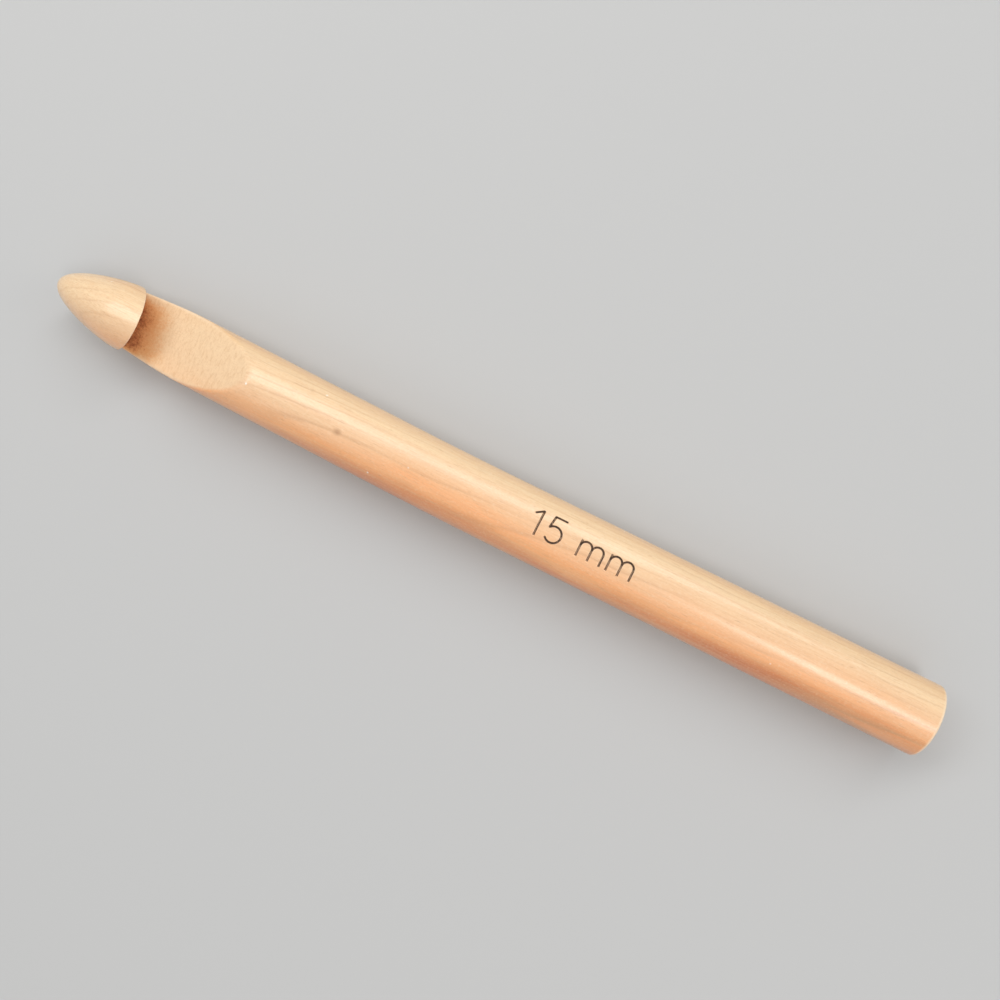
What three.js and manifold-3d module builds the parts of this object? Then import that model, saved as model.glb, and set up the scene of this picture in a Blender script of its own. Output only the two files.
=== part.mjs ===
// A wooden crochet hook, 15 mm in diameter and 203 mm long, turned and cut from one piece of wood:
// a rounded head, a throat with an undercut lip for the yarn, a slightly narrower neck and a round handle.
// Units are millimetres. +X runs from the head to the butt, +Z points out of the throat,
// and the origin is on the surface that the hook lies on, under the middle of its length.

import * as THREE from 'three';
import * as BufferGeometryUtils from 'three/addons/utils/BufferGeometryUtils.js';
import Module from 'manifold-3d';

const wasm = await Module();
wasm.setup();

// Driving dimensions
const length = 203;
const handleRadius = 7.5;
const headRadius = 7.3;
const headLength = 17.5; // from the tip to where the head reaches its full radius
const headFullness = 1.3; // 1 is a parabola and 2 is an ellipse
const neckRadius = 7.3;
const neckWaist = 21; // from the tip to where the neck starts to widen
const neckEnd = 36; // from the tip to where the neck has grown to the handle's radius
const buttChamfer = 0.5;

const lipPosition = 18.6; // from the tip to the lip's face, at the height of the axis
const lipUndercut = 0.82; // how far the lip leans over the throat, for each millimetre of height
const throatDepth = 3; // of the throat's deepest point below the axis
const throatEnd = 50.7; // from the tip to where the ramp runs out at the top
const throatHollow = 1; // how far the ramp sags below a straight line
const throatFillet = 1; // of the lip and the ramp that the rounded corner between them takes up

// Fineness of the faceted solid
const sides = 64; // a multiple of 4, so that one flat side lies on the ground
const headSteps = 18;
const waistSteps = 3;
const neckSteps = 6;
const rampSteps = 12;
const filletSteps = 4;

const tip = -length / 2;
const butt = length / 2;

// The radius of the round stock at a distance from the tip, before the throat is cut
function stockRadius(fromTip) {
  if (fromTip < headLength) {
    const left = 1 - fromTip / headLength;
    return headRadius * Math.sqrt(1 - left ** headFullness);
  }
  if (fromTip < neckWaist) {
    const t = THREE.MathUtils.smoothstep(fromTip, headLength, neckWaist);
    return THREE.MathUtils.lerp(headRadius, neckRadius, t);
  }
  const t = THREE.MathUtils.smoothstep(fromTip, neckWaist, neckEnd);
  return THREE.MathUtils.lerp(neckRadius, handleRadius, t);
}

// The outline runs from the tip to the butt, as (radius, distance along the axis)
function stockOutline() {
  const points = [];
  const addPoint = (fromTip) => points.push(new THREE.Vector2(stockRadius(fromTip), tip + fromTip));
  for (let i = 0; i <= headSteps; i++) {
    const angle = (Math.PI / 2) * (i / headSteps);
    addPoint(headLength * (1 - Math.cos(angle))); // closer steps where the nose is round
  }
  for (let i = 1; i <= waistSteps; i++) {
    addPoint(THREE.MathUtils.lerp(headLength, neckWaist, i / waistSteps));
  }
  for (let i = 1; i <= neckSteps; i++) {
    addPoint(THREE.MathUtils.lerp(neckWaist, neckEnd, i / neckSteps));
  }
  points.push(new THREE.Vector2(handleRadius, butt - buttChamfer));
  points.push(new THREE.Vector2(handleRadius - buttChamfer, butt));
  points.push(new THREE.Vector2(0, butt));
  return points;
}

// The round stock along +X, with the middle of a flat side under it and its true radius on the flats
function makeStock() {
  const stretch = 1 / Math.cos(Math.PI / sides);
  const outline = stockOutline().map((p) => new THREE.Vector2(p.x * stretch, p.y));
  const geometry = new THREE.LatheGeometry(outline, sides, Math.PI / sides);
  geometry.rotateZ(-Math.PI / 2); // the lathe's axis, +Y, becomes +X
  return geometry;
}

// The throat's outline seen from the side: the lip's face, a rounded corner, and a hollow ramp
function throatOutline() {
  const above = handleRadius + 2; // clear of the stock
  const lipAt = (z) => tip + lipPosition + lipUndercut * z;
  const rampFoot = new THREE.Vector2(lipAt(-throatDepth), -throatDepth);
  const rampTop = new THREE.Vector2(tip + throatEnd, handleRadius);
  const along = rampTop.clone().sub(rampFoot);
  const down = new THREE.Vector2(along.y, -along.x).normalize();

  const rampPoint = (t) =>
    rampFoot
      .clone()
      .addScaledVector(along, t)
      .addScaledVector(down, throatHollow * 4 * t * (1 - t));

  // The corner's curve leaves the lip and meets the ramp one fillet length away from the foot
  const lipDirection = new THREE.Vector2(lipUndercut, 1).normalize();
  const corner = new THREE.QuadraticBezierCurve(
    rampFoot.clone().addScaledVector(lipDirection, throatFillet),
    rampFoot,
    rampPoint(throatFillet / along.length())
  );

  const points = [new THREE.Vector2(lipAt(above), above)];
  points.push(...corner.getPoints(filletSteps));
  for (let i = 1; i <= rampSteps; i++) points.push(rampPoint(i / rampSteps));
  // past the surface, the ramp goes on in a straight line
  const last = points.at(-1).clone().sub(points.at(-2)).normalize();
  const overrun = (above - handleRadius) / last.y;
  points.push(points.at(-1).clone().addScaledVector(last, overrun));
  return points;
}

// The throat's cutter: its outline drawn in the XZ plane and carried across the stock
function makeThroatCutter() {
  const width = 4 * handleRadius;
  const shape = new THREE.Shape(throatOutline());
  const geometry = new THREE.ExtrudeGeometry(shape, { depth: width, bevelEnabled: false });
  geometry.rotateX(Math.PI / 2); // the drawing's upward direction becomes +Z
  geometry.translate(0, width / 2, 0);
  return geometry;
}

function toSolid(geometry) {
  const bare = geometry.clone();
  bare.deleteAttribute('normal');
  bare.deleteAttribute('uv');
  const merged = BufferGeometryUtils.mergeVertices(bare, 1e-5);
  return new wasm.Manifold(
    new wasm.Mesh({
      numProp: 3,
      vertProperties: new Float32Array(merged.attributes.position.array),
      triVerts: new Uint32Array(merged.index.array),
    })
  );
}

function toGeometry(solid) {
  const mesh = solid.getMesh();
  const geometry = new THREE.BufferGeometry();
  geometry.setAttribute('position', new THREE.BufferAttribute(mesh.vertProperties, 3));
  geometry.setIndex(new THREE.BufferAttribute(mesh.triVerts, 1));
  geometry.computeVertexNormals();
  return geometry;
}

const lacqueredWood = new THREE.MeshStandardMaterial({
  color: 0xe6b184,
  roughness: 0.42,
  metalness: 0,
});

// The whole hook is one piece of wood
function makeHookBody() {
  const body = toSolid(makeStock()).subtract(toSolid(makeThroatCutter()));
  const mesh = new THREE.Mesh(toGeometry(body), lacqueredWood);
  mesh.name = 'hook_body';
  mesh.position.z = handleRadius;
  return mesh;
}

const crochetHook = new THREE.Group();
crochetHook.add(makeHookBody());

export default crochetHook;
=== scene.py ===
"""A wooden crochet hook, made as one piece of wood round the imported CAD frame.

The frame gives the hook's length and thickness. The mesh follows the same shape as the CAD
solid, with the things that are too fine for it: softened edges, tool marks, a slight bow and
the engraved size. Metres, +Z up, +X from the head to the butt, and the throat faces +Z.
"""

import math

import bmesh
import bpy
import numpy as np
from mathutils import Matrix, Vector, noise


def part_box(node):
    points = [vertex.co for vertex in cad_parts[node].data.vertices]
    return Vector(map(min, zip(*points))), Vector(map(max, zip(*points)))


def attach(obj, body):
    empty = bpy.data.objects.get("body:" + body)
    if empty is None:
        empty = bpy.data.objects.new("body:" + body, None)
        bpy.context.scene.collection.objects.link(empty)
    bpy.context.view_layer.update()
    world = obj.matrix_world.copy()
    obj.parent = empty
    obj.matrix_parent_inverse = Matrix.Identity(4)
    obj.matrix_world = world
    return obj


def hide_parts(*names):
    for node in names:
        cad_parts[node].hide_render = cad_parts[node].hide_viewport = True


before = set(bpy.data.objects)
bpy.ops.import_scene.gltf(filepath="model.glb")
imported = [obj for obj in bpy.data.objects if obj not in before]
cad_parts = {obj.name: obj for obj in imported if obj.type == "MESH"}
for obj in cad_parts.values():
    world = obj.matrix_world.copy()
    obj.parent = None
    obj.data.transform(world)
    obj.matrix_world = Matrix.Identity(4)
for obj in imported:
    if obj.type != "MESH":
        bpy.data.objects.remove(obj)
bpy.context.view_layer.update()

MM = 0.001
FAR = 1.0  # metres: further off than anything in the hook
ROUNDING = 1e-9  # metres: less than this between two distances means nothing

# The hook's size comes from the frame
low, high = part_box("hook_body")
tip_x, butt_x = low[0], high[0]
length = butt_x - tip_x
handle_radius = (high[2] - low[2]) / 2
axis_height = (high[2] + low[2]) / 2

# The round stock, whose lengths run from the tip
head_radius = 7.3 * MM
head_length = 17.5 * MM
head_fullness = 1.3  # 1 is a parabola and 2 is an ellipse
neck_radius = 7.3 * MM
neck_waist = 21 * MM
neck_end = 36 * MM
butt_chamfer = 0.5 * MM
chamfer_depth = 0.8  # of the chamfer's width, at the butt's rim
chamfer_curve = 2.2  # 1 is a flat chamfer, and more is a rounder one

# The throat
lip_position = 18.6 * MM  # of the lip's face at the height of the axis
lip_undercut = 0.82  # how far the lip leans over the throat, for each millimetre of height
throat_depth = 3 * MM  # below the axis
throat_end = 50.7 * MM
throat_hollow = 1 * MM  # how far the ramp sags below a straight line
throat_fillet = 1 * MM
throat_roll = 0.08  # how much higher the cut is for each millimetre toward +Y

# What sanding, turning and drying left
edge_softness = 0.9 * MM  # how far from an edge the sanding reached
rim_width = 0.35 * MM  # of the rounding of the lip's rim
face_lean = 0.3 * MM  # how far the lip's face is out of its plane, from rim to foot
end_skew = 0.012  # how much longer the handle is for each millimetre toward -Y
lip_skew = 0.11  # how much further back the lip is for each millimetre toward -Y
bend_slope = 0.00975  # how far each straight half of the dowel leans toward +Y
bend_lean = -0.0023  # what both halves lean together
bend_place = -6 * MM  # of the soft bend near the middle
bend_softness = 7 * MM
bend_shift = -0.62 * MM

# The size mark: places along the hook run from the tip, and heights run round the dowel
mark_start = 116.0 * MM
mark_end = 139.2 * MM
mark_margin = 1 * MM  # of finer mesh before and after it
baseline_angle = math.radians(-15.7)  # from +Z toward +Y
digit_height = 5.35 * MM
x_height = 3.5 * MM
m_width = 5.0 * MM
letter_starts = [v * MM for v in (0.6, 4.2, 11.3, 17.8)]  # after the mark's start

# Its grooves, across from the middle of a stroke
stroke_width = 0.42 * MM
groove_depth = 0.2 * MM
groove_flat = 0.04 * MM
groove_edge = 0.26 * MM
refined_reach = 0.5 * MM  # of the finer mesh
levelled_reach = 0.6 * MM  # of the surface that is true to the handle's radius

# Their charred lining
lining_top = 0.015 * MM  # above the groove's surface
lining_bottom = -0.06 * MM  # below the groove's floor
lining_columns = 7
lining_step = 0.1 * MM
tip_reach = np.array([1, 0.75, 0.4])  # steps past a stroke's end, in halves of its width
tip_width = np.array([0.2, 0.66, 0.92])  # of the stroke's width, at those steps

# The grain, in millimetres
heart = (46.0, -30.0)  # of the growth rings, in Y and Z under the middle of the hook
heart_slope = (0.035, -0.02)  # how far it moves in Y and Z for each millimetre along the hook
rings_per_mm = 0.56
ring_drift = 5.0  # of the rings' slow bends
ring_wander = 0.7  # of their quick ones
knot_place = (-28.35, -1.87)  # of the pin knot's middle, in X and Y

# Fineness of the mesh
columns = 224
ray_start = -5.2 * MM  # the height, from the axis, where the rays to the neck's surface start
reach_rounds = 25  # of refining where each ray meets the round stock
end_rings = (0.97, 0.9, 0.78, 0.64, 0.5, 0.36, 0.22, 0.1)  # on the butt's end, of its radius

# Colours, as linear values
near_paper = (0.5, 0.5, 0.495)
# painted light: the paper further out, where the lamps don't reach
far_paper_painted_light = (0.93, 0.93, 0.92)
painted_grazing_tint = (0.85, 0.53, 0.25)  # on the side toward +Y, furthest round: painted colour that offsets the lacquer's grey reflection at the grazing edge
cream_and_lit_wood = (0.88, 0.64, 0.38)  # on the side toward +Y: the wood's own cream, and painted light on the lit side
middle_wood = (0.83, 0.53, 0.3)
# toward -Y: the wood's own redder tone, and painted shade on the side away from the window
red_and_shaded_wood = (0.92, 0.41, 0.16)
painted_shade_wood = (0.64, 0.175, 0.045)  # painted shade on the side toward -Y, deepest near the butt
pale_wood = (0.88, 0.68, 0.46)
# painted highlight along the lip's rim, the throat's sides and the butt's chamfer
painted_highlight_colour = (0.92, 0.72, 0.5)
streak_wood = (0.78, 0.47, 0.25)
ring_wood = (0.55, 0.28, 0.13)
fleck_wood = (0.42, 0.2, 0.09)
# white specks: lacquer dust, and painted glints
glint_and_dust_white = (0.93, 0.88, 0.8)
end_wood = (0.62, 0.36, 0.19)
raw_wood = (0.84, 0.6, 0.37)
raw_shade = (0.66, 0.41, 0.22)
golden_wood = (0.88, 0.52, 0.23)
toasted_wood = (0.76, 0.33, 0.11)
burnt_wood = (0.28, 0.055, 0.02)
char_black = (0.03, 0.016, 0.01)
char_brown = (0.14, 0.07, 0.035)

# The camera
camera_place = Vector((26.8, -13.3, 197.5)) * MM
camera_target = Vector((6.8, 1.25, 7.5)) * MM
camera_roll = math.radians(27.2)
camera_lens = 33.3  # millimetres
camera_sensor = 36  # millimetres


class Nodes:
    """Short calls for building one material's node tree."""

    def __init__(self, name):
        self.material = bpy.data.materials.new(name)
        self.material.use_nodes = True
        self.tree = self.material.node_tree
        self.shader = self.tree.nodes["Principled BSDF"]
        self.place = self.new("ShaderNodeTexCoord").outputs["Object"]

    def new(self, kind):
        return self.tree.nodes.new(kind)

    def set(self, socket, value):
        if isinstance(value, bpy.types.NodeSocket):
            self.tree.links.new(value, socket)
        else:
            socket.default_value = value

    def math(self, operation, *values):
        node = self.new("ShaderNodeMath")
        node.operation = operation
        for socket, value in zip(node.inputs, values):
            self.set(socket, value)
        return node.outputs[0]

    def hypot(self, a, b):
        square = self.math("ADD", self.math("MULTIPLY", a, a), self.math("MULTIPLY", b, b))
        return self.math("SQRT", square)

    def stretched(self, per_mm, turn=(0, 0, 0)):
        """Object coordinates, scaled to so many pattern units for each millimetre."""
        node = self.new("ShaderNodeMapping")
        self.set(node.inputs["Vector"], self.place)
        node.inputs["Rotation"].default_value = turn
        node.inputs["Scale"].default_value = tuple(v / MM for v in per_mm)
        return node.outputs[0]

    def noise(self, per_mm, detail=3.0, roughness=0.55, turn=(0, 0, 0), distortion=0.0):
        node = self.new("ShaderNodeTexNoise")
        self.set(node.inputs["Vector"], self.stretched(per_mm, turn))
        node.inputs["Scale"].default_value = 1
        node.inputs["Detail"].default_value = detail
        node.inputs["Roughness"].default_value = roughness
        node.inputs["Distortion"].default_value = distortion
        return node.outputs["Fac"]

    def ramp(self, value, start, end):
        """A straight change between two (value, result) stops, and level outside them."""
        node = self.new("ShaderNodeMapRange")
        self.set(node.inputs["Value"], value)
        node.inputs["From Min"].default_value, node.inputs["To Min"].default_value = start
        node.inputs["From Max"].default_value, node.inputs["To Max"].default_value = end
        return node.outputs["Result"]

    def mix(self, amount, first, second):
        """A mix of two colours. The node has its colour sockets after those of its other kinds."""
        node = self.new("ShaderNodeMix")
        node.data_type = "RGBA"
        self.set(node.inputs[0], amount)
        for socket, colour in ((node.inputs[6], first), (node.inputs[7], second)):
            linked = isinstance(colour, bpy.types.NodeSocket)
            self.set(socket, colour if linked else (*colour, 1))
        return node.outputs[2]

    def layered(self, colour, layers):
        """A colour with (amount, colour) layers laid over it in turn."""
        for amount, over in layers:
            colour = self.mix(amount, colour, over)
        return colour

    def attribute(self, name):
        node = self.new("ShaderNodeAttribute")
        node.attribute_name = name
        return node.outputs["Fac"]

    def axis(self, letter):
        """One object coordinate, in millimetres."""
        node = self.new("ShaderNodeSeparateXYZ")
        self.set(node.inputs[0], self.place)
        return self.math("DIVIDE", node.outputs[letter], MM)

    def bump(self, height, distance, under=None):
        node = self.new("ShaderNodeBump")
        node.inputs["Strength"].default_value = 1
        node.inputs["Distance"].default_value = distance
        self.set(node.inputs["Height"], height)
        if under is not None:
            self.set(node.inputs["Normal"], under)
        return node.outputs["Normal"]


# ------------------------------------------------------------------------------------- stage


def make_camera():
    """Looks down on the hook, turned so that it runs from upper left to lower right."""
    forward = (camera_target - camera_place).normalized()
    across = forward.cross(Vector((0, 1, 0))).normalized()
    level_up = across.cross(forward)
    up = level_up * math.cos(camera_roll) - across * math.sin(camera_roll)
    right = forward.cross(up)
    data = bpy.data.cameras.new("camera")
    data.lens = camera_lens
    data.sensor_width = camera_sensor
    data.clip_start = 0.01
    camera = bpy.data.objects.new("camera", data)
    turn = Matrix((right, up, -forward)).transposed()
    camera.matrix_world = Matrix.Translation(camera_place) @ turn.to_4x4()
    bpy.context.scene.collection.objects.link(camera)
    bpy.context.scene.camera = camera


def make_floor():
    """Plain paper, with painted light: it is a little paler further out, where the lights don't
    reach.
    """
    reach = 6.0  # metres, to each side
    mesh = bpy.data.meshes.new("floor")
    corners = [(-reach, -reach, 0), (reach, -reach, 0), (reach, reach, 0), (-reach, reach, 0)]
    mesh.from_pydata(corners, [], [(0, 1, 2, 3)])
    floor = bpy.data.objects.new("floor", mesh)
    bpy.context.scene.collection.objects.link(floor)
    n = Nodes("pale_paper")
    distance = n.new("ShaderNodeVectorMath")
    distance.operation = "LENGTH"
    n.set(distance.inputs[0], n.place)
    painted_light_further_out = n.ramp(distance.outputs["Value"], (0.3, 0.0), (1.4, 1.0))
    n.set(n.shader.inputs["Base Color"], n.mix(painted_light_further_out, near_paper, far_paper_painted_light))
    n.shader.inputs["Roughness"].default_value = 0.9
    n.shader.inputs["Specular IOR Level"].default_value = 0.1
    mesh.materials.append(n.material)


def add_softbox(name, place, size, power, turn=0.0, aim=None):
    """A rectangular light that faces the floor, or the point it is aimed at."""
    data = bpy.data.lights.new(name, "AREA")
    data.shape = "RECTANGLE"
    data.size, data.size_y = size
    data.energy = power
    light = bpy.data.objects.new(name, data)
    light.location = place
    light.rotation_euler = (0, 0, math.radians(turn))
    if aim is not None:
        facing = (Vector(aim) - Vector(place)).to_track_quat("-Z", "Y")
        light.rotation_euler = facing.to_euler()
    bpy.context.scene.collection.objects.link(light)


def make_lights():
    """White surroundings, a long window, a small lamp beyond the butt, and two weak fillers."""
    world = bpy.data.worlds.new("studio")
    world.use_nodes = True
    background = world.node_tree.nodes["Background"]
    background.inputs["Color"].default_value = (1, 1, 1, 1)
    background.inputs["Strength"].default_value = 0.46
    bpy.context.scene.world = world
    add_softbox("window", place=(-0.13, 0.46, 0.6), size=(1.5, 0.3), power=5.2, turn=52)
    add_softbox("lamp", place=(0.3, -0.17, 0.6), size=(0.28, 0.16), power=1.2, turn=-40)
    add_softbox("side", place=(0.9, 0.3, 0.45), size=(0.4, 0.7), power=1.3, aim=(0.1, 0, 0))
    add_softbox("fill", place=(0.1, -0.7, 0.6), size=(1.2, 0.6), power=1.3)
    bpy.context.scene.view_settings.view_transform = "Standard"


# ------------------------------------------------------------------------------------- shape


def smooth_step(value, start, end):
    t = np.clip((value - start) / (end - start), 0, 1)
    return t * t * (3 - 2 * t)


def soft_min(a, b, softness):
    """The smaller of two distances, with a rounded change from one to the other."""
    h = np.clip(0.5 + 0.5 * (b - a) / softness, 0, 1)
    return b + (a - b) * h - softness * h * (1 - h)


def stock_radius(from_tip):
    """The radius of the round stock, before the throat is cut."""
    left = np.clip(1 - from_tip / head_length, 0, 1)
    nose = head_radius * np.sqrt(1 - left**head_fullness)
    to_waist = smooth_step(from_tip, head_length, neck_waist)
    to_handle = smooth_step(from_tip, neck_waist, neck_end)
    behind = head_radius + (neck_radius - head_radius) * to_waist
    behind = behind + (handle_radius - neck_radius) * to_handle
    shank = np.where(from_tip < head_length, nose, behind)
    into_chamfer = np.clip((from_tip - (length - butt_chamfer)) / butt_chamfer, 0, 1)
    return shank - chamfer_depth * butt_chamfer * into_chamfer**chamfer_curve


def throat_floor():
    """The throat's outline from the side, as (distance from the tip, height above the axis)."""
    foot = np.array([lip_position - lip_undercut * throat_depth, -throat_depth])
    top = np.array([throat_end, handle_radius])
    along = top - foot
    size = np.hypot(*along)
    down = np.array([along[1], -along[0]]) / size

    def ramp(t):
        t = np.asarray(t)[:, None]
        return foot + along * t + down * throat_hollow * 4 * t * (1 - t)

    lip_direction = np.array([lip_undercut, 1]) / math.hypot(lip_undercut, 1)
    start = foot + lip_direction * throat_fillet
    end = ramp([throat_fillet / size])[0]
    t = np.linspace(0, 1, 20)[:, None]
    corner = start * (1 - t) ** 2 + 2 * foot * t * (1 - t) + end * t**2
    past_top = 1.35  # of the ramp's length, so that it leaves the stock
    return np.vstack([corner, ramp(np.linspace(throat_fillet / size, past_top, 300)[1:])])


def shear(ring):
    """How far each ring leans, as a share of the lip's own lean.

    It is whole at the lip, so that one ring is the lip's face, and nothing at the tip and along
    the handle.
    """
    rise = smooth_step(ring, 1.2 * MM, lip_position)
    fall = 1 - smooth_step(ring, lip_position + 1 * MM, throat_end + 12 * MM)
    return rise * fall


def ring_positions():
    """Distances from the tip, closer together where the shape turns quickly."""
    quarter = math.pi / 2
    first = 0.04  # radians, so that the first ring isn't a point
    nose_end = 3 * MM
    foot = lip_position + face_lean
    past_throat = throat_end + 4 * MM
    steps = [
        nose_end * (1 - np.cos(np.linspace(first, quarter, 12))),
        np.linspace(nose_end, lip_position - rim_width, 32)[1:],
        lip_position - rim_width * np.cos(np.linspace(0, quarter, 7))[1:],
        lip_position + face_lean * np.linspace(0, 1, 19)[1:],
        foot + np.linspace(0, 1.2 * MM, 9)[1:],
        np.linspace(foot + 1.2 * MM, past_throat, 84)[1:],
        np.linspace(past_throat, mark_start - mark_margin, 52)[1:],
        np.linspace(mark_start - mark_margin, mark_end + mark_margin, 72)[1:],
        np.linspace(mark_end + mark_margin, length - 2 * butt_chamfer, 54)[1:],
        np.linspace(length - 2 * butt_chamfer, length - butt_chamfer, 5)[1:],
        length - butt_chamfer * np.cos(np.linspace(0, quarter, 7))[1:],
    ]
    return np.concatenate(steps)


def column_angles():
    """Angles from +Z toward +Y, closer together at the top, where the throat and the mark are."""
    fine = np.linspace(-math.pi, math.pi, 2001)
    density = 1 + 0.9 * np.exp(-((fine / math.radians(50)) ** 2))
    travelled = np.concatenate([[0], np.cumsum((density[1:] + density[:-1]) / 2)])
    wanted = np.linspace(0, travelled[-1], columns + 1)[:-1]
    return np.interp(wanted, travelled, fine)


def surface_rays(ring, angle):
    """Each ring's centre, as a height above the axis, and its rays' directions and lengths.

    Rays start low in the neck, so that each one leaves the cut section once.
    """
    centre = ray_start * smooth_step(ring, 2 * MM, 14 * MM)
    centre = centre * (1 - smooth_step(ring, 30 * MM, throat_end + 10 * MM))
    around = stock_radius(ring)
    away_y = around * np.sin(angle)
    away_z = around * np.cos(angle) - centre
    size = np.hypot(away_y, away_z)
    return centre, away_y / size, away_z / size, size


def whole_reach(ring, slope, skew, rays):
    """How far each ray runs to the surface of the round stock, on rings that lean."""
    centre, ray_y, ray_z, reach = rays
    for _ in range(reach_rounds):
        y, z = reach * ray_y, centre + reach * ray_z
        radius = stock_radius(np.maximum(ring + slope * z - skew * y, 0))
        root = np.maximum(radius**2 - (centre * ray_y) ** 2, 0)
        reach = -centre * ray_z + np.sqrt(root)
    return reach


def floor_reach(ring, slope, rays):
    """How far each ray runs to the throat's floor."""
    centre, ray_y, ray_z, _ = rays
    outline = throat_floor()
    floor_z = np.full(ring.shape, FAR)
    for i in range(len(ring)):
        here = ring[i, 0]
        if here > lip_position:
            here = max(here - face_lean, lip_position)
            across = outline[:, 0] - slope[i, 0] * outline[:, 1]
            floor_z[i] = np.interp(here, across, outline[:, 1])
    roll = throat_roll * (1 - smooth_step(ring, 0.6 * throat_end, throat_end))
    upward = ray_z - roll * ray_y
    meets = upward > 1e-3  # rays that are level or point down never meet the floor
    reach = np.where(meets, (floor_z - centre) / np.maximum(upward, 1e-4), FAR)
    return np.minimum(reach, FAR)


def join_at_lip(ring, whole, cut_reach):
    """The lip's face joins the whole section to the cut one, and its rim is rounded off. It also
    gives where the rim's painted highlight goes.
    """
    foot = lip_position + face_lean - ROUNDING
    first_cut = int(np.argmax(ring[:, 0] >= foot))
    across_face = np.clip((ring - lip_position) / face_lean, 0, 1)
    drop = np.maximum(whole[first_cut] - cut_reach[first_cut], 0)[None, :]
    wear = np.minimum(rim_width, drop / 3)
    into_rim = np.clip((ring - (lip_position - rim_width)) / rim_width, 0, 1)
    rim_drop = wear * (1 - np.sqrt(np.maximum(1 - into_rim**2, 0)))
    on_face = whole - rim_drop - (drop - wear) * across_face
    on_rim = into_rim * smooth_step(drop, 0.5 * MM, 2 * MM) * (ring < lip_position + 0.03 * MM)
    return np.where(ring < foot, on_face, cut_reach), on_rim


def painted_highlight_mask(ring, on_rim, behind_lip, beyond_side):
    """Painted highlight: pale lines on the edges of the lip's rim, the throat's sides and the
    butt's chamfer.
    """
    sides = np.exp(-((beyond_side / (0.5 * MM)) ** 2)) * behind_lip
    sides = sides * (1 - smooth_step(ring, 30 * MM, 42 * MM))
    chamfer = smooth_step(ring, length - 1.5 * butt_chamfer, length - 0.6 * butt_chamfer)
    return np.maximum(np.maximum(on_rim, sides), chamfer)


def scorch(ring, y, cut):
    """The cutter scorched the foot of the throat, and further back on the side toward -Y."""
    behind = ring - lip_position + 1.1 * MM * y / handle_radius
    scorched = 1 - smooth_step(behind, 0.4 * MM, 11.5 * MM)
    inside = 1 - 0.95 * smooth_step(np.abs(y + 0.6 * MM), 4 * MM, 7.2 * MM)
    return cut * scorched * inside


def hook_surface():
    """Every vertex by ring and column, how much of the surface is cut or burnt, and where the
    edges' painted highlight goes.
    """
    ring = ring_positions()[:, None]
    lean = shear(ring)
    slope = lip_undercut * lean
    skew = lip_skew * lean
    rays = surface_rays(ring, column_angles()[None, :])
    whole = whole_reach(ring, slope, skew, rays)
    open_reach = floor_reach(ring, slope, rays)
    softness = edge_softness * (1 - 0.5 * smooth_step(ring, 34 * MM, throat_end))
    cut_reach = soft_min(whole, open_reach, softness)
    reach, on_rim = join_at_lip(ring, whole, cut_reach)

    centre, ray_y, ray_z, _ = rays
    y, z = reach * ray_y, centre + reach * ray_z
    x = ring + slope * z - skew * y
    behind_lip = ring >= lip_position + 0.02 * MM
    cut = np.where(behind_lip, smooth_step(whole - reach, 0.1 * MM, 0.5 * MM), 0)
    edge_highlight = painted_highlight_mask(ring, on_rim, behind_lip, open_reach - whole)
    burn = scorch(ring, y, cut)

    # The butt was sawn a little out of square
    x = x - end_skew * y * smooth_step(ring, length - 12 * MM, length)
    return x, y, z, cut, burn, edge_highlight


def bow(x):
    """How far the dowel stands to +Y: nearly straight on either side of a soft bend."""
    bend = bend_slope * np.hypot(x - bend_place, bend_softness)
    return bend + bend_lean * x + bend_shift


def place_in_frame(points):
    """Moves points from the dowel's own straight axis to their place in the frame."""
    points[:, 0] += tip_x
    points[:, 1] += bow(points[:, 0])
    points[:, 2] += axis_height


def tool_marks(x, y, z, cut):
    """The throat's shallow ridges from the cutter, and the sanded unevenness of the rest."""
    swell, ridge = 0.035, 0.035  # millimetres
    depth = np.zeros(x.shape)
    for index in np.ndindex(x.shape):
        place = Vector((x[index], y[index], z[index])) / MM
        broad = noise.noise(Vector((place.x * 0.05, place.y * 0.16, place.z * 0.16)))
        ridges = noise.noise(Vector((place.x * 0.9 + place.y * 0.5, place.y * 0.35, 4.0)))
        depth[index] = swell * broad + ridge * cut[index] * ridges
    return depth * MM


def add_mesh(name, points, faces):
    mesh = bpy.data.meshes.new(name)
    mesh.from_pydata([tuple(p) for p in points], [], faces)
    mesh.validate()
    mesh.update()
    mesh.shade_smooth()
    piece = bpy.data.objects.new(name, mesh)
    bpy.context.scene.collection.objects.link(piece)
    return piece


# --------------------------------------------------------------------------------- size mark


def arc(centre, radius, start, end, steps):
    turn = np.radians(np.linspace(start, end, steps))
    return [(centre[0] + radius * math.cos(a), centre[1] + radius * math.sin(a)) for a in turn]


def glyphs():
    """The strokes of 1, 5, m and m: (distance from the glyph's left, height above the baseline)."""
    tall = digit_height
    one = [[(0, tall * 0.8), (0.28 * tall, tall), (0.28 * tall, 0)]]
    bowl = 0.32 * tall
    five_bowl = arc((0.26 * tall, bowl), bowl, 138, -142, 14)
    five = [[(0.56 * tall, tall), (0.08 * tall, tall), *five_bowl]]
    half = m_width / 4
    em = [[(0, 0), (0, x_height)]]
    for left in (0, 2 * half):
        arch = arc((left + half, x_height - half), half, 180, 0, 10)
        em.append([*arch, (left + 2 * half, 0)])
    return one, five, em, em


def size_strokes():
    """The size, 15 mm, as single strokes: (distance from the tip, height above the baseline)."""
    strokes = []
    for start, glyph in zip(letter_starts, glyphs()):
        for stroke in glyph:
            strokes.append(np.array([(mark_start + start + px, py) for px, py in stroke]))
    return strokes


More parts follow.
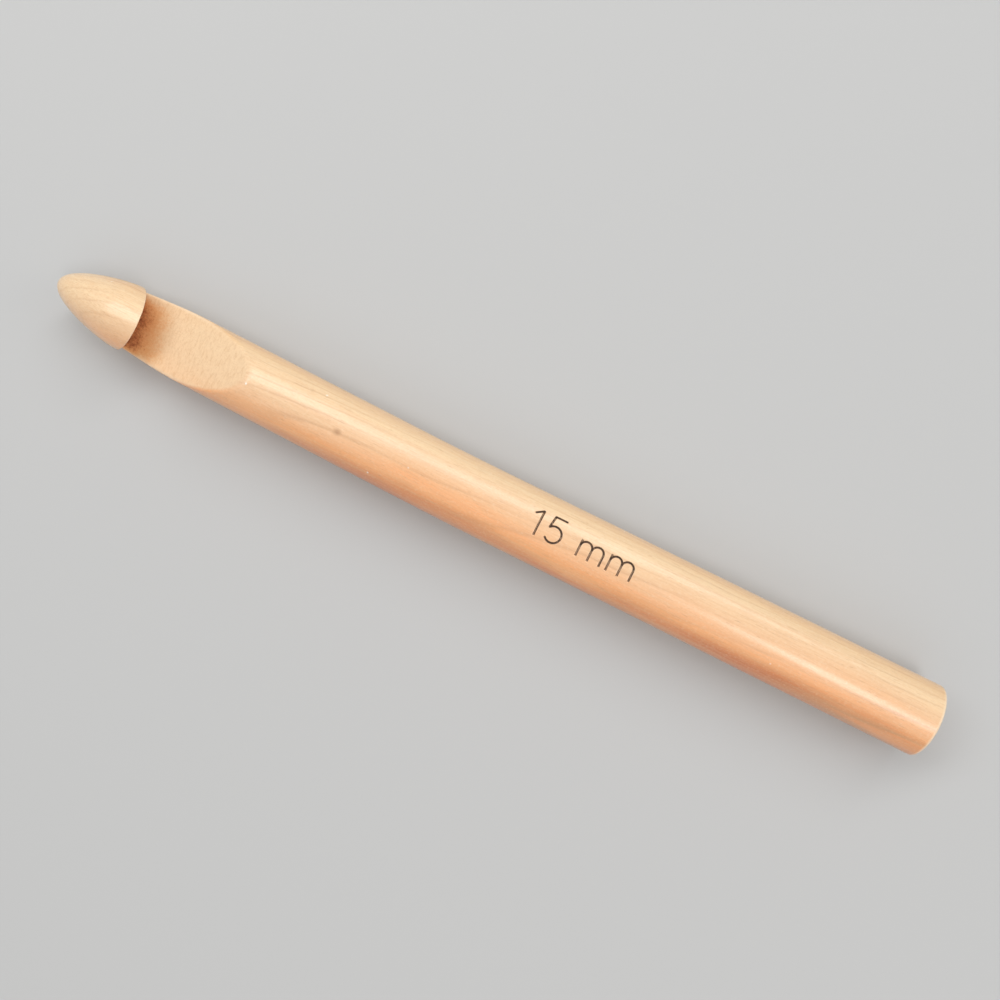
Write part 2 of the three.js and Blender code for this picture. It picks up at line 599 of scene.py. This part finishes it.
def stroke_distance(along, up):
    """How far each point is from the nearest stroke of the size mark."""
    nearest = np.full(np.shape(along), FAR)
    for stroke in size_strokes():
        for (ax, ay), (bx, by) in zip(stroke[:-1], stroke[1:]):
            dx, dy = bx - ax, by - ay
            t = np.clip(((along - ax) * dx + (up - ay) * dy) / (dx * dx + dy * dy), 0, 1)
            nearest = np.minimum(nearest, np.hypot(along - ax - t * dx, up - ay - t * dy))
    return nearest


def groove(distance):
    """How deep the engraving is, at a distance from the middle of a stroke."""
    return groove_depth * (1 - smooth_step(distance, groove_flat, groove_edge))


def engrave(mesh):
    """Refines the mesh near the strokes and sinks it there, before it is placed in the frame."""
    bm = bmesh.new()
    bm.from_mesh(mesh)

    def beside_mark(x):
        return mark_start - mark_margin < x < mark_end + mark_margin

    def distances(elements, place):
        points = np.array([place(e) for e in elements])
        up = np.arctan2(points[:, 1], points[:, 2]) * handle_radius
        up = up - baseline_angle * handle_radius
        gap = stroke_distance(points[:, 0], up)
        return np.where(points[:, 2] > 0, gap, FAR)

    faces = [f for f in bm.faces if beside_mark(f.calc_center_median().x)]
    near = distances(faces, lambda f: f.calc_center_median()) < refined_reach
    edges = {edge for face, is_near in zip(faces, near) if is_near for edge in face.edges}
    bmesh.ops.subdivide_edges(bm, edges=list(edges), cuts=2, use_grid_fill=True)
    verts = [v for v in bm.verts if beside_mark(v.co.x) and v.co.z > 0]
    for vert, gap in zip(verts, distances(verts, lambda v: v.co)):
        if gap < levelled_reach:
            scale = (handle_radius - groove(gap)) / math.hypot(vert.co.y, vert.co.z)
            vert.co.y *= scale
            vert.co.z *= scale
    bm.to_mesh(mesh)
    bm.free()


def rounded_stroke(stroke):
    """Even steps along a stroke and over its round tips, the way left of it, and its width."""
    gaps = np.hypot(*np.diff(stroke, axis=0).T)
    travelled = np.concatenate([[0], np.cumsum(gaps)])
    wanted = np.linspace(0, travelled[-1], max(int(travelled[-1] / lining_step), 4))
    line = np.stack([np.interp(wanted, travelled, stroke[:, i]) for i in (0, 1)], -1)
    heading = np.gradient(line, axis=0)
    heading /= np.hypot(*heading.T)[:, None]

    extra = len(tip_reach)
    reach = stroke_width / 2 * tip_reach
    before = line[0] - heading[0] * reach[:, None]
    after = line[-1] + heading[-1] * reach[::-1, None]
    line = np.vstack([before, line, after])
    first, last = np.repeat(heading[:1], extra, 0), np.repeat(heading[-1:], extra, 0)
    heading = np.vstack([first, heading, last])
    width = np.ones(len(line))
    width[:extra] = tip_width
    width[-extra:] = tip_width[::-1]
    return line, np.stack([-heading[:, 1], heading[:, 0]], -1), width


def lining_row(middle, left, offsets):
    """The points across a strip: along its top, and then along its underside."""
    row = []
    for layer in (lining_top, lining_bottom):
        for offset in offsets:
            px, py = middle + left * offset
            depth = groove(abs(offset)) if layer > 0 else groove(0)
            radius = handle_radius - depth + layer
            angle = baseline_angle + py / handle_radius
            row.append((px, radius * math.sin(angle), radius * math.cos(angle)))
    return row


def make_size_mark():
    """The charred lining of the engraved strokes, as closed strips that lie in the grooves."""
    points, faces = [], []
    across = np.linspace(-1, 1, lining_columns) * stroke_width / 2
    row = 2 * lining_columns
    loop = [*range(lining_columns), *range(row - 1, lining_columns - 1, -1)]
    for stroke in size_strokes():
        start = len(points)
        line, left, width = rounded_stroke(stroke)
        for middle, to_left, narrow in zip(line, left, width):
            points += lining_row(middle, to_left, across * narrow)
        for a in range(start, start + (len(line) - 1) * row, row):
            b = a + row
            for p, q in zip(loop, loop[1:] + loop[:1]):
                faces.append((a + q, a + p, b + p, b + q))
        faces.append([start + p for p in loop])
        faces.append([start + (len(line) - 1) * row + p for p in reversed(loop)])
    points = np.array(points)
    place_in_frame(points)
    return add_mesh("size_mark", points, faces)


# -------------------------------------------------------------------------------------- wood


def wall_faces(rings, count):
    """The faces between each ring and the next."""
    faces = []
    for here in range(0, (rings - 1) * count, count):
        ahead = here + count
        for j in range(count):
            k = (j + 1) % count
            faces.append((ahead + j, ahead + k, here + k, here + j))
    return faces


def close_ends(points, count):
    """More vertices and faces: the tip is one vertex, and narrowing rings fill the butt's end."""
    tip_index = len(points)
    extra = [[0, 0, 0]]
    faces = [(tip_index, j, (j + 1) % count) for j in range(count)]
    previous = len(points) - count
    for scale in end_rings:
        start = len(points) + len(extra)
        for px, py, pz in points[-count:]:
            extra.append([length + (px - length) * scale, py * scale, pz * scale])
        for j in range(count):
            k = (j + 1) % count
            faces.append((start + j, start + k, previous + k, previous + j))
        previous = start
    middle = len(points) + len(extra)
    extra.append([length, 0, 0])
    faces += [(middle, previous + (j + 1) % count, previous + j) for j in range(count)]
    return extra, faces


def make_wood():
    """The whole hook, with what its surface is like as attributes for the material."""
    x, y, z, cut, burn, edge_highlight = hook_surface()
    rings, count = x.shape
    uneven = tool_marks(x, y, z, cut)
    radius = np.maximum(np.hypot(y, z), 0.001 * MM)
    y, z = y + uneven * y / radius, z + uneven * z / radius
    z = np.maximum(z, -handle_radius)

    points = np.stack([x, y, z], -1).reshape(-1, 3)
    extra, end_faces = close_ends(points, count)
    on_wall = np.stack([cut, burn, edge_highlight, np.zeros(x.shape)], -1).reshape(-1, 4)
    on_ends = np.zeros((len(extra), 4))
    on_ends[1:, 3] = 1  # all but the tip are on the butt's end
    values = np.vstack([on_wall, on_ends])

    faces = wall_faces(rings, count) + end_faces
    piece = add_mesh("turned_wood", np.vstack([points, extra]), faces)
    for index, name in enumerate(("cut", "burn", "edge_highlight", "end")):
        layer = piece.data.attributes.new(name, "FLOAT", "POINT")
        layer.data.foreach_set("value", values[:, index].astype(np.float32))
    engrave(piece.data)

    points = np.empty(len(piece.data.vertices) * 3)
    piece.data.vertices.foreach_get("co", points)
    points = points.reshape(-1, 3)
    place_in_frame(points)
    piece.data.vertices.foreach_set("co", points.ravel())
    piece.data.shade_smooth()
    piece.data.update()
    return piece


# --------------------------------------------------------------------------------- materials


def growth_rings(n, x, y, z):
    """The dark lines of rings whose heart lies outside the dowel and a little out of line."""
    drift = n.noise((0.012, 0.05, 0.05), detail=2)
    wander = n.noise((0.03, 0.35, 0.35), detail=3)
    heart_y = n.math("ADD", n.math("MULTIPLY", x, heart_slope[0]), heart[0])
    heart_z = n.math("ADD", n.math("MULTIPLY", x, heart_slope[1]), heart[1])
    distance = n.hypot(n.math("SUBTRACT", y, heart_y), n.math("SUBTRACT", z, heart_z))
    distance = n.math("ADD", distance, n.math("MULTIPLY", drift, ring_drift))
    distance = n.math("ADD", distance, n.math("MULTIPLY", wander, ring_wander))
    phase = n.math("FRACT", n.math("MULTIPLY", distance, rings_per_mm))
    late_wood = n.ramp(phase, (0.72, 0.0), (0.97, 1.0))
    early_wood = n.ramp(phase, (0.0, 1.0), (0.1, 0.0))
    line = n.math("MAXIMUM", n.math("POWER", late_wood, 2.0), early_wood)
    strength = n.ramp(n.noise((0.02, 0.12, 0.12), detail=2), (0.42, 0.15), (0.68, 1.0))
    line = n.math("MULTIPLY", line, strength)
    return n.math("MULTIPLY", line, n.ramp(x, (-95.0, 0.55), (60.0, 1.15)))


def grain_and_painted_light(n, x, y, z, streaks, fibres, mottle):
    """The grain, and a tone that is partly the wood's own and partly painted light: creamier on the
    lit side of the dowel toward +Y and redder on the other, with painted shade there, most of all
    near the butt.
    """
    clouds = n.noise((0.018, 0.1, 0.1), detail=2)
    flecks = n.ramp(n.noise((0.55, 5.5, 5.5), detail=1), (0.66, 0.0), (0.76, 1.0))
    side = n.math("ADD", y, n.math("MULTIPLY", n.math("SUBTRACT", clouds, 0.5), 9.0))
    side = n.math("SUBTRACT", side, n.math("MULTIPLY", x, 0.006))
    side = n.math("ADD", side, n.ramp(x, (-84.0, 2.0), (-50.0, 0.0)))
    painted_shade_side = n.math("SUBTRACT", side, n.ramp(x, (20.0, 0.0), (100.0, 1.2)))
    layers = [
        # The wood's own change from cream to red, and painted light: creamier on the lit +Y side,
        # redder in the shade toward -Y
        (n.ramp(side, (3.0, 0.0), (-0.5, 1.0)), middle_wood),
        (n.ramp(side, (-0.5, 0.0), (-5.5, 1.0)), red_and_shaded_wood),
        # painted shade: a deep red brown on the side toward -Y, reaching further round near the
        # butt
        (n.ramp(painted_shade_side, (-6.2, 0.0), (-8.7, 1.0)), painted_shade_wood),
        # painted colour against the lacquer's grey grazing reflection on the far +Y side
        (n.ramp(y, (4.6, 0.0), (6.8, 0.9)), painted_grazing_tint),
        (n.ramp(streaks, (0.4, 0.0), (0.75, 0.5)), streak_wood),
        (n.math("MULTIPLY", growth_rings(n, x, y, z), 0.7), ring_wood),
        (n.ramp(fibres, (0.48, 0.0), (0.78, 0.36)), ring_wood),
        (n.ramp(mottle, (0.5, 0.0), (0.75, 0.32)), pale_wood),
        (n.ramp(mottle, (0.47, 0.0), (0.28, 0.36)), streak_wood),
        (n.math("MULTIPLY", flecks, 0.35), fleck_wood),
    ]
    return n.layered(cream_and_lit_wood, layers)


def glint_and_dust_specks(n):
    """Dust that dried into the lacquer, and painted glints: white specks."""
    node = n.new("ShaderNodeTexVoronoi")
    n.set(node.inputs["Vector"], n.stretched((0.16, 0.16, 0.16)))
    node.inputs["Scale"].default_value = 1
    return n.ramp(node.outputs["Distance"], (0.02, 1.0), (0.05, 0.0))


def torn_fibres(n):
    """The raw throat's fibres, lying across each other."""
    pattern = {"detail": 3, "roughness": 0.7, "distortion": 0.5}
    one_way = n.noise((2.2, 0.8, 1.2), turn=(0, 0, 0.6), **pattern)
    crossing = n.noise((2.2, 0.8, 1.2), turn=(0, 0, -0.8), **pattern)
    return n.math("MULTIPLY", n.math("ADD", one_way, crossing), 0.5)


def pin_knot(n, x, y, z, fibres):
    """A pin knot on the top of the handle, a little longer than it is wide."""
    along = n.math("MULTIPLY", n.math("SUBTRACT", x, knot_place[0]), 0.75)
    across = n.math("SUBTRACT", y, knot_place[1])
    gap = n.math("ADD", n.hypot(along, across), n.math("MULTIPLY", fibres, 0.5))
    on_top = n.ramp(z, (7.0, 0.0), (9.0, 1.0))
    return n.math("MULTIPLY", n.ramp(gap, (0.45, 1.0), (1.15, 0.0)), on_top)


def scorch_layers(n, burn):
    """The scorch: golden first, then dark red brown, broken up into grains."""
    grains = n.noise((1.5, 2.0, 2.0), detail=4, roughness=0.75)
    blotches = n.noise((0.35, 0.35, 0.35), detail=2)
    grains = n.math("ADD", n.math("MULTIPLY", grains, 1.3), n.math("MULTIPLY", blotches, 0.7))
    ragged = n.math("ADD", burn, n.math("SUBTRACT", grains, 1.0))
    ragged = n.math("MULTIPLY", ragged, n.ramp(burn, (0.0, 0.0), (0.12, 1.0)))
    return [
        (n.ramp(burn, (0.0, 0.0), (0.5, 0.8)), golden_wood),
        (n.ramp(ragged, (0.08, 0.0), (0.75, 0.85)), toasted_wood),
        (n.ramp(ragged, (0.66, 0.0), (1.2, 0.95)), burnt_wood),
    ]


def add_lacquer(n, cut, streaks):
    """Satin lacquer on all but the throat, where the wood is raw and rougher."""
    rough = n.ramp(streaks, (0.3, 0.4), (0.7, 0.5))
    rough = n.math("ADD", rough, n.math("MULTIPLY", cut, 0.3))
    n.set(n.shader.inputs["Roughness"], rough)
    lacquered = n.math("SUBTRACT", 1.0, cut)
    n.set(n.shader.inputs["Coat Weight"], n.math("MULTIPLY", lacquered, 0.85))
    n.shader.inputs["Coat Roughness"].default_value = 0.23
    n.shader.inputs["Coat IOR"].default_value = 1.5


def add_relief(n, cut, torn, mottle, glints_and_dust):
    """Ripples, mottle, specks and pores everywhere, and torn fibres in the throat."""
    ripple = n.noise((0.3, 0.8, 0.8), detail=2)
    pores = n.noise((0.5, 4.5, 4.5), detail=3, roughness=0.6)
    normal = n.bump(ripple, 0.05 * MM)
    normal = n.bump(mottle, 0.09 * MM, under=normal)
    normal = n.bump(glints_and_dust, 0.04 * MM, under=normal)
    normal = n.bump(pores, 0.024 * MM, under=normal)
    normal = n.bump(n.math("MULTIPLY", torn, cut), 0.1 * MM, under=normal)
    n.set(n.shader.inputs["Normal"], normal)


def wood_material():
    n = Nodes("lacquered_beech")
    cut = n.attribute("cut")
    x, y, z = n.axis("X"), n.axis("Y"), n.axis("Z")
    streaks = n.noise((0.03, 1.3, 1.3), detail=5, roughness=0.65)
    fibres = n.noise((0.22, 5.0, 5.0), detail=3, roughness=0.6)
    mottle = n.noise((1.7, 2.5, 2.5), detail=3, roughness=0.7)
    glints_and_dust = glint_and_dust_specks(n)
    torn = torn_fibres(n)
    raw = n.mix(n.ramp(torn, (0.46, 0.0), (0.62, 0.6)), raw_wood, raw_shade)
    layers = [
        # white specks: lacquer dust, and painted glints
        (n.math("MULTIPLY", glints_and_dust, 0.8), glint_and_dust_white),
        (n.math("MULTIPLY", cut, 0.8), raw),
        # painted highlight on the edges
        (n.math("MULTIPLY", n.attribute("edge_highlight"), 0.75), painted_highlight_colour),
        (n.math("MULTIPLY", pin_knot(n, x, y, z, fibres), 0.6), fleck_wood),
        (n.math("MULTIPLY", n.attribute("end"), 0.45), end_wood),
        *scorch_layers(n, n.attribute("burn")),
    ]
    colour = n.layered(grain_and_painted_light(n, x, y, z, streaks, fibres, mottle), layers)
    n.set(n.shader.inputs["Base Color"], colour)
    add_lacquer(n, cut, streaks)
    add_relief(n, cut, torn, mottle, glints_and_dust)
    return n.material


def charred_material():
    n = Nodes("charred_grooves")
    soot = n.noise((1.6, 1.6, 1.6), detail=4, roughness=0.7)
    colour = n.mix(n.ramp(soot, (0.35, 0.0), (0.7, 1.0)), char_black, char_brown)
    n.set(n.shader.inputs["Base Color"], colour)
    n.set(n.shader.inputs["Roughness"], n.ramp(soot, (0.3, 0.9), (0.7, 0.65)))
    n.set(n.shader.inputs["Normal"], n.bump(soot, 0.05 * MM))
    return n.material


# --------------------------------------------------------------------------------- the scene

make_camera()
make_floor()
make_lights()

wood = make_wood()
wood.data.materials.append(wood_material())
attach(wood, "root")
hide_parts("hook_body")

size_mark = make_size_mark()
size_mark.data.materials.append(charred_material())
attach(size_mark, "root")
